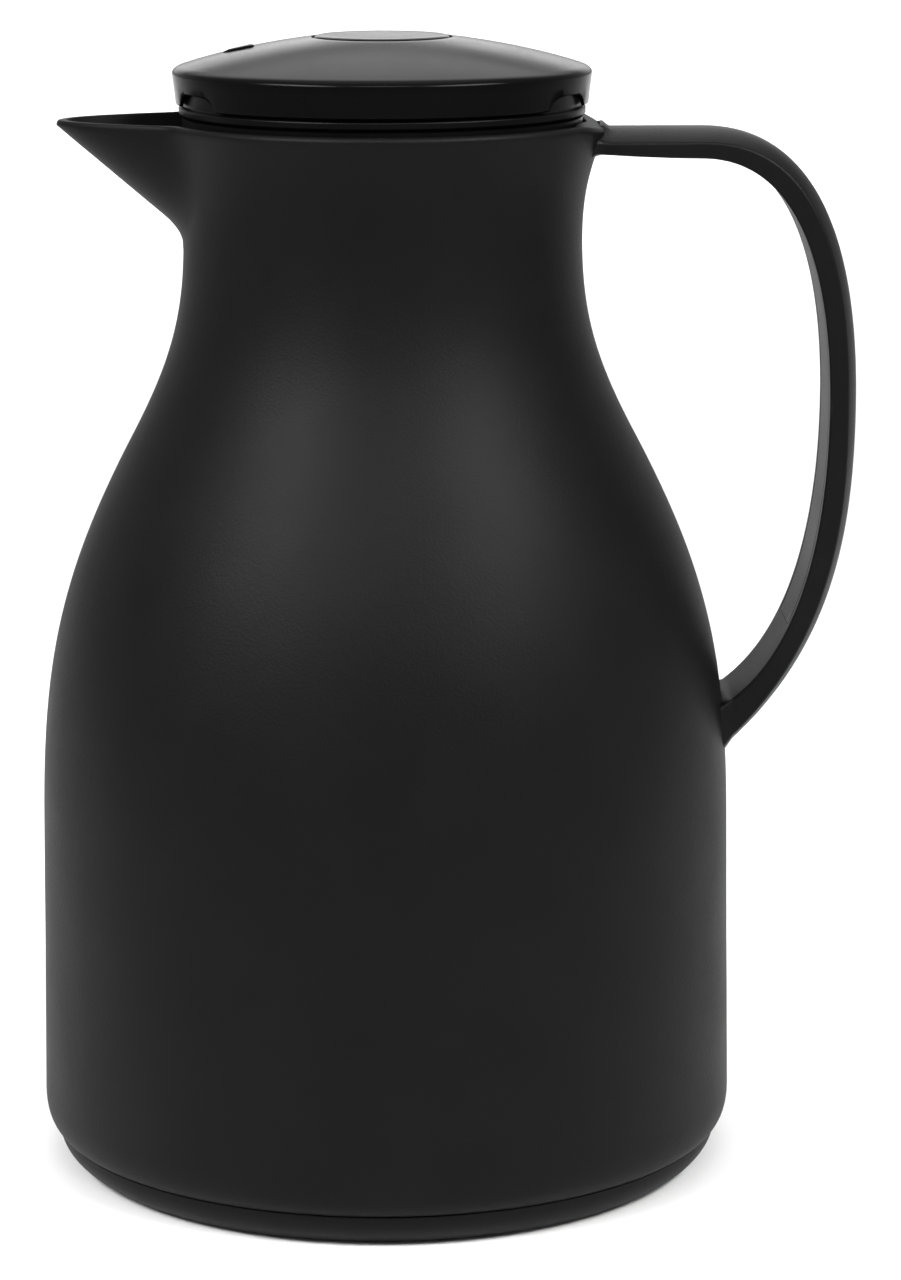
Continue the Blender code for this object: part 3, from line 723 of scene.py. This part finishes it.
def base_cap(finish):
    foot = bezier((70.6, 0.0), (74.2, 1.8), (76.3, 4.2), (76.6, 6.6), 12)
    ground = [(0.0, 0.0), (24.0, 0.0), (25.6, 2.0), (36.0, 2.0), (36.6, 1.5), (38.4, 1.5), (39.0, 2.0),
              (57.4, 2.0), (59.0, 0.0)]
    seat = [(76.6, 7.9), (73.9, 7.9), (73.9, 9.0), (72.6, 9.0), (72.6, 11.4), (73.9, 11.4), (73.9, 19.2),
            (71.8, 19.2), (71.0, 4.4), (38.5, 4.4), (38.5, 8.0), (36.6, 8.0), (36.6, 4.4), (27.5, 4.4),
            (25.0, 2.4), (0.0, 2.4)]
    outline = softened(ground, 0.5, closed=False) + foot[1:-1] + softened([foot[-1]] + seat, 0.35,
                                                                          closed=False)
    threads = thread_lugs(73.5, 75.4, 15.6, BASE_LEAD, 2, 120.0, 1.5)
    return stand_in("base_cap", *joined(lathe_mesh(chain(outline), closed=False), threads), finish)


def base_seal_ring(finish):
    return stand_in("base_seal_ring", *lathe_mesh(oval(74.4, 10.2, 1.1, 0.9)), finish)


def flask_cushion(finish):
    outline = [(10.0, 4.7), (36.0, 4.7), (36.0, 14.2), (34.4, 16.0), (23.0, 15.2), (12.0, 14.7), (10.0, 13.4)]
    return turned_piece("flask_cushion", outline, finish, 0.8)


# Flask

def flask_outside():
    foot = bezier((8.0, 15.2), (45.0, 15.2), (FLASK_R, 20.0), (FLASK_R, 50.0), 24)
    shoulder = bezier((FLASK_R, 86.0), (70.8, 116.0), (65.5, 134.0), (51.5, 164.0), 24)
    neck = bezier((51.5, 164.0), (44.0, 179.0), (FLASK_NECK_R, 180.0), (FLASK_NECK_R, 192.0), 14)
    return chain(foot, shoulder, neck)


def flask_inside():
    foot = bezier((0.0, 25.0), (38.0, 25.0), (62.0, 30.0), (62.0, 56.0), 24)
    shoulder = bezier((62.0, 86.0), (61.6, 112.0), (57.5, 128.0), (43.5, 157.0), 24)
    neck = bezier((43.5, 157.0), (36.5, 171.0), (26.8, 174.0), (26.8, 188.0), 14)
    return chain(foot, shoulder, neck)


def flask_outer_wall(finish):
    """The outer bottle, drawn off to a sealed tip under its foot."""
    outside = flask_outside()
    tip = chain([(0.0, 9.4)], bezier((0.0, 9.4), (3.6, 9.4), (3.0, 14.6), outside[0], 12))
    back = [p for p in offset(outside, FLASK_GLASS) if p[0] > 8.5]
    half = FLASK_GLASS / 2
    rim = [(FLASK_NECK_R - half + half * math.cos(a), NECK_TOP_Z - half + half * math.sin(a))
           for a in np.linspace(0.0, math.pi, 9)]
    outline = chain(tip, outside, rim, list(reversed(back)), [(0.0, 16.7)])
    return stand_in("flask_outer_wall", *lathe_mesh(outline, closed=False), finish)


def flask_inner_wall(finish):
    """The inner bottle, with a fire-polished lip that turns out over the outer neck."""
    inside = flask_inside()
    lip_z = NECK_TOP_Z + GLASS_GAP
    back = [p for p in offset(inside, -FLASK_GLASS) if p[0] > 1.0]
    over = [(29.65 - 2.85 * math.cos(a), MOUTH_Z - 1.6 + 1.6 * math.sin(a))
            for a in np.linspace(0.0, math.pi, 17)]
    under = [over[-1], (FLASK_NECK_R, lip_z), (back[-1][0], lip_z), back[-1]]
    under = softened(under, 0.5, closed=False)[1:-1]
    outline = chain(inside, over, under, list(reversed(back)), [(0.0, 23.5)])
    return stand_in("flask_inner_wall", *lathe_mesh(outline, closed=False), finish)


def flask_spacers(finish):
    """Felt pads between the glass walls, soft-edged and slightly lobed round their rim."""
    for index in range(3):
        node = "flask_spacer_%d" % (index + 1)
        angle = math.radians(120.0 * index + 60.0)
        low, high = (Vector(corner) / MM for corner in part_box(node))
        centre = (low + high) / 2
        pad_r = (high.z - low.z) / 2
        disc = softened([(0.0, -2.5), (pad_r, -2.5), (pad_r, 2.5), (0.0, 2.5)], 0.9, closed=False)
        verts, faces = lathe_mesh(disc, closed=False, segments=64)
        turned = []
        for x, y, z in verts:
            lump = 1 + 0.015 * math.sin(5 * math.atan2(y, x) + index)
            turned.append((centre.x + z * math.cos(angle) - y * lump * math.sin(angle),
                           centre.y + z * math.sin(angle) + y * lump * math.cos(angle),
                           centre.z + x * lump))
        stand_in(node, turned, faces, finish)


def flask_gasket(finish):
    outline = [(28.0, 199.8), (33.0, 199.8), (33.0, 196.6), (34.6, 196.6), (34.6, 202.6), (28.0, 202.6)]
    return turned_piece("flask_gasket", outline, finish, 0.5)


# Pouring collar

def pouring_collar(finish):
    outline = [(27.5, 203.0), (35.2, 203.0), (38.6, 202.4), (40.9, 199.5), (42.9, 190.0), (44.4, 190.0),
               (42.6, 201.0), (41.9, 208.0), (41.9, COLLAR_TOP_Z), (40.4, COLLAR_TOP_Z), (40.4, 212.0),
               (39.4, 210.0), (27.5, 206.0)]
    lugs = thread_lugs(40.7, 39.0, 221.1, STOPPER_LEAD, 3, 81.0, 2.4)
    return turned_piece("pouring_collar", outline, finish, 0.4, extras=(lugs,))


def collar_seal(finish):
    return stand_in("collar_seal", *lathe_mesh(oval(42.6, 225.2, 0.38, 0.6)), finish)


# Stopper

ARCH_ANGLE = 26.2
ARCH_HALF_ANGLE = 11.4
ARCH_RISE = 2.95


def arch_rise(angles):
    """Height of the arches over the skirt's lower edge; four arches, two on each side."""
    turn = np.degrees(np.arccos(np.clip(np.abs(np.cos(angles)), 0.0, 1.0)))
    share = np.clip(np.abs(turn - ARCH_ANGLE) / ARCH_HALF_ANGLE, 0.0, 1.0)
    return ARCH_RISE * (1 - share ** 3.2) ** 0.6


def dome_line():
    return bezier((16.2, LID_TOP_Z), (27.0, 256.8), (37.0, 254.6), (44.6, 252.2), 22)


def stopper_cap(finish):
    """The lid: a shallow dome with a rolled edge over a skirt with four arches."""
    segments = 480
    angles = np.linspace(0.0, 2 * math.pi, segments, endpoint=False)
    dome = dome_line()
    edge = bezier((44.6, 252.2), (46.0, 251.8), (LID_R, 251.3), (LID_R, 250.3), 8)
    side = [(LID_R - 0.2, 248.6), (LID_R - 0.45, 246.9)]
    well = softened([(LID_R - 2.1, 248.9), (43.4, 249.9), (38.0, 251.4), (17.6, 255.6), (17.6, 249.1),
                     (15.8, 249.1), (15.8, LID_TOP_Z)], 0.4, closed=False)
    rings = [ring_at(r, z, segments) for r, z in chain(dome, edge, side)]

    def low_ring(r, lift):
        z = SKIRT_Z + arch_rise(angles) + lift
        return np.column_stack((r * np.cos(angles), r * np.sin(angles), z))

    foot_r = LID_R - 0.75
    for r, lift in ((foot_r, 0.35), (foot_r - 0.06, 0.12), (foot_r - 0.25, 0.0), (foot_r - 0.6, 0.0),
                    (foot_r - 0.8, 0.12), (foot_r - 0.85, 0.35)):
        rings.append(low_ring(r, lift))
    rings += [ring_at(r, z, segments) for r, z in well]
    return stand_in("stopper_cap", *skin(rings, wrap=True), finish)


def pointer_mark(finish):
    """The small raised drop on the lid that points at the spout."""
    dome = np.array(dome_line())
    rings = []
    steps = 24
    for k in range(steps + 1):
        t = k / steps
        r = 28.4 + 7.2 * t
        half = 0.06 + 2.2 * (1 - t) ** 0.7 * min(1.0, 7 * t) ** 0.5
        surface = float(np.interp(-r, -dome[::-1, 0], dome[::-1, 1]))
        rise = 0.5 * min(1.0, 8 * t) ** 0.5 * min(1.0, 5 * (1 - t)) ** 0.5
        section = softened([(half, -0.6), (half, rise), (-half, rise), (-half, -0.6)], 0.16, closed=False)
        rings.append([(-r, y, surface + z) for y, z in section])
    piece = new_piece("lid_pointer", *capped(rings))
    piece.data.materials.append(finish)
    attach(piece, "stopper")
    return piece


def boxed_cut(piece, low, high, name):
    """Cut a straight-sided window through a piece."""
    bm = bmesh.new()
    bmesh.ops.create_cube(bm, size=1.0)
    size = Vector(high) - Vector(low)
    bmesh.ops.scale(bm, vec=size * MM, verts=bm.verts)
    bmesh.ops.bevel(bm, geom=bm.edges, offset=0.8 * MM, segments=3, profile=0.5, affect="EDGES")
    bmesh.ops.translate(bm, vec=(Vector(low) + Vector(high)) / 2 * MM, verts=bm.verts)
    mesh = bpy.data.meshes.new(name)
    bm.to_mesh(mesh)
    bm.free()
    tool = bpy.data.objects.new(name, mesh)
    bpy.context.scene.collection.objects.link(tool)
    cut = piece.modifiers.new("Window", "BOOLEAN")
    cut.operation = "DIFFERENCE"
    cut.solver = "EXACT"
    cut.object = tool
    return tool


def with_applied_cuts(piece, tools):
    """Bake a piece's cuts into its mesh and clear the cutters away."""
    weighted = piece.modifiers["WeightedNormal"]
    piece.modifiers.remove(weighted)
    depsgraph = bpy.context.evaluated_depsgraph_get()
    mesh = bpy.data.meshes.new_from_object(piece.evaluated_get(depsgraph))
    piece.modifiers.clear()
    piece.data = mesh
    for tool in tools:
        bpy.data.objects.remove(tool, do_unlink=True)
    mesh.shade_smooth()
    mesh.set_sharp_from_angle(angle=math.radians(40))
    weighted = piece.modifiers.new("WeightedNormal", "WEIGHTED_NORMAL")
    weighted.keep_sharp = True


def stopper_body(finish):
    """The hollow plug that screws into the collar, with a bead that fills the gap under the lid's skirt."""
    bead_r = STOPPER_R + 0.7
    outline = [(24.0, 199.3), (24.0, 212.0), (37.5, 212.0), (38.1, 212.6), (38.1, 228.0), (STOPPER_R, 236.0)]
    outline += [(STOPPER_R, RIM_Z + 0.8), (bead_r, RIM_Z + 1.5), (bead_r, SKIRT_Z - 0.9)]
    outline += [(STOPPER_R, SKIRT_Z - 0.3), (STOPPER_R, 248.6), (43.2, 248.6), (43.2, 236.8), (36.3, 228.8)]
    outline += [(36.3, 214.4), (24.0, 214.4), (24.0, 224.5), (5.6, 224.5), (5.6, 231.0), (3.0, 231.0),
                (3.0, 222.3), (22.0, 222.3), (22.0, 199.3)]
    lugs = thread_lugs(37.8, 40.0, 218.5, STOPPER_LEAD, 3, 81.0, 2.4)
    piece = turned_piece("stopper_body", outline, finish, 0.5)
    tools = [boxed_cut(piece, (-30, -6, 215.4), (30, 6, 221.2), "window_ports_x"),
             boxed_cut(piece, (-6, -30, 215.4), (6, 30, 221.2), "window_ports_y"),
             boxed_cut(piece, (-50, -14, 229.4), (50, 14, 235.4), "window_outlet")]
    with_applied_cuts(piece, tools)
    lug_piece = new_piece("stopper_thread", *lugs)
    lug_piece.data.materials.append(finish)
    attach(lug_piece, "stopper")
    return piece


def stopper_seal(finish):
    outline = [(24.4, 207.2), (28.0, 206.6), (30.2, 207.4), (30.2, 211.7), (24.4, 211.7)]
    return turned_piece("stopper_seal", outline, finish, 0.6)


def push_button(finish):
    top = BUTTON_TOP_Z
    outline = [(0.0, top - 0.12), (11.0, top - 0.04), (14.3, top), (15.0, top - 0.25), (15.4, top - 0.9),
               (15.4, 248.8), (17.2, 248.8), (17.2, 247.2), (13.6, 247.2), (13.6, 256.4), (5.2, 256.4),
               (5.2, 247.0), (2.9, 247.0), (2.9, 251.0), (0.0, 251.0)]
    return turned_piece("push_button", outline, finish, 0.35, closed=False)


def button_spring(finish):
    """Compression spring, as short as under the pressed button, so that it never shows through it."""
    wire_r = 0.6
    coil_r = 8.6
    turns = 6
    steps = turns * 40
    low = SPRING_LOW_Z + wire_r
    high = SPRING_TOP_Z - BUTTON_TRAVEL - wire_r
    rings = []
    for k in range(steps + 1):
        share = k / steps
        rise = np.clip((share * turns - 0.6) / (turns - 1.2), 0.0, 1.0)
        angle = 2 * math.pi * turns * share
        out = Vector((math.cos(angle), math.sin(angle), 0.0))
        centre = out * coil_r + Vector((0.0, 0.0, low + (high - low) * rise))
        rings.append([centre + out * (wire_r * math.cos(a)) + Vector((0, 0, wire_r * math.sin(a)))
                      for a in np.linspace(0.0, 2 * math.pi, 14, endpoint=False)])
    return stand_in("button_spring", *capped(rings), finish)


def valve_stem(finish):
    outline = [(0.0, STEM_FOOT_Z), (6.0, STEM_FOOT_Z), (6.0, 194.1), (2.6, 194.1), (2.6, 196.9), (2.3, 197.0),
               (2.3, 197.7), (2.6, 197.8), (2.6, STEM_TOP_Z), (0.0, STEM_TOP_Z)]
    return turned_piece("valve_stem", outline, finish, 0.3, closed=False)


def valve_disc(finish):
    outline = [(2.9, 194.4), (24.0, 194.4), (25.0, 195.3), (25.0, 196.6), (2.9, 196.6)]
    return turned_piece("valve_disc", outline, finish, 0.4)


def valve_seal(finish):
    outline = [(20.0, 196.9), (24.9, 196.9), (24.9, 198.3), (24.3, 198.9), (20.6, 198.9), (20.0, 198.3)]
    return turned_piece("valve_seal", outline, finish, 0.4)


def valve_clip(finish):
    """Spring clip: a flat ring with a gap."""
    rings = []
    for angle in np.linspace(math.radians(18), math.radians(342), 80):
        corners = softened([(2.95, 196.9), (6.0, 196.9), (6.0, 197.8), (2.95, 197.8)], 0.15)
        rings.append([(r * math.cos(angle), r * math.sin(angle), z) for r, z in corners])
    return stand_in("valve_clip", *capped(rings), finish)


# Studio: floor, lights and camera

def studio_floor():
    bm = bmesh.new()
    bmesh.ops.create_circle(bm, cap_ends=True, segments=96, radius=30.0)
    mesh = bpy.data.meshes.new("studio_floor")
    bm.to_mesh(mesh)
    bm.free()
    floor = bpy.data.objects.new("studio_floor", mesh)
    bpy.context.scene.collection.objects.link(floor)
    nodes = Nodes("studio_paper")
    tone = nodes.noise(6.0, 3.0)
    nodes.link(nodes.colours(tone, [(0.3, grey(0.74)), (0.7, grey(0.77))]), nodes.shader.inputs["Base Color"])
    nodes.shader.inputs["Roughness"].default_value = 0.9
    nodes.shader.inputs["Specular IOR Level"].default_value = 0.1
    mesh.materials.append(nodes.material)
    return floor


def soft_light(name, place, target, width, height, power, spread):
    """A rectangular softbox in metres and watts, with a grid in front that holds it to a spread."""
    data = bpy.data.lights.new(name, "AREA")
    data.spread = math.radians(spread)
    data.shape = "RECTANGLE"
    data.size = width
    data.size_y = height
    data.energy = power
    light = bpy.data.objects.new(name, data)
    bpy.context.scene.collection.objects.link(light)
    light.location = place
    light.rotation_euler = (Vector(target) - Vector(place)).to_track_quat("-Z", "Y").to_euler()
    light.visible_camera = False
    return light


def studio_world():
    """An even pale room, brightest overhead and at the horizon."""
    world = bpy.data.worlds.new("studio_world")
    world.use_nodes = True
    tree = world.node_tree
    place = tree.nodes.new("ShaderNodeTexCoord")
    parts = tree.nodes.new("ShaderNodeSeparateXYZ")
    height = tree.nodes.new("ShaderNodeMapRange")
    ramp = tree.nodes.new("ShaderNodeValToRGB")
    height.inputs["From Max"].default_value = 1.0
    points = ramp.color_ramp.elements
    while len(points) < 4:
        points.new(0.5)
    for point, (position, level) in zip(points, ((0.0, 0.55), (0.2, 0.4), (0.45, 0.3), (0.75, 0.5))):
        point.position = position
        point.color = (level, level, level, 1.0)
    tree.links.new(place.outputs["Generated"], parts.inputs["Vector"])
    tree.links.new(parts.outputs["Z"], height.inputs["Value"])
    tree.links.new(height.outputs["Result"], ramp.inputs["Fac"])
    tree.links.new(ramp.outputs["Color"], tree.nodes["Background"].inputs["Color"])
    tree.nodes["Background"].inputs["Strength"].default_value = 1.1
    bpy.context.scene.world = world


def studio_camera():
    """Long lens about a metre in front of the jug, a little above it."""
    data = bpy.data.cameras.new("camera")
    data.sensor_width = 36.0
    data.lens = 121.36
    data.clip_start = 0.05
    data.clip_end = 100.0
    camera = bpy.data.objects.new("camera", data)
    bpy.context.scene.collection.objects.link(camera)
    camera.location = (0.0, -0.971, 0.325)
    camera.rotation_euler = (math.radians(78.1), math.radians(0.1), math.radians(-0.911))
    bpy.context.scene.camera = camera


studio_camera()
studio_world()
studio_floor()
middle = (0.0, 0.0, 0.15)
soft_light("top_light", (0.0, 0.2, 1.5), middle, 1.2, 1.0, 0.5, 70.0)
soft_light("back_light", (0.0, 2.2, 0.7), (0.0, 0.0, 0.24), 2.6, 0.5, 0.6, 60.0)
soft_light("crown_light", (0.0, 1.7, 1.5), middle, 2.6, 0.9, 1.4, 60.0)
soft_light("floor_light", (0.0, 3.8, 2.0), (0.0, 3.8, 0.0), 3.0, 5.2, 80.0, 80.0)
soft_light("left_light", (-0.95, -0.75, 1.1), middle, 1.0, 0.5, 4.4, 60.0)
soft_light("right_light", (0.95, -0.75, 1.1), middle, 1.0, 0.5, 4.2, 60.0)
soft_light("front_light", (0.0, -1.0, 1.15), middle, 0.7, 0.4, 0.9, 60.0)
bpy.context.scene.view_settings.view_transform = "Standard"

matte = matte_plastic("matte_black_plastic", 0.47, 0.085)
hand_polished = matte_plastic("hand_polished_plastic", 0.42, 0.1)
gloss = gloss_plastic()
inner = inner_plastic()
natural = natural_plastic()
rubber = silicone()
mirror = silvered_glass()
steel = drawn_steel()
felt = wool_felt()

outer_shell(matte)
handle_grip(hand_polished)
handle_cover(hand_polished)
handle_screw(steel)
base_cap(matte)
base_seal_ring(rubber)
flask_cushion(rubber)
flask_outer_wall(mirror)
flask_inner_wall(mirror)
flask_spacers(felt)
flask_gasket(rubber)
pouring_collar(inner)
collar_seal(rubber)
stopper_cap(gloss)
pointer_mark(gloss)
stopper_body(inner)
stopper_seal(rubber)
push_button(gloss)
button_spring(steel)
valve_stem(steel)
valve_disc(natural)
valve_seal(rubber)
valve_clip(steel)

bpy.context.view_layer.update()
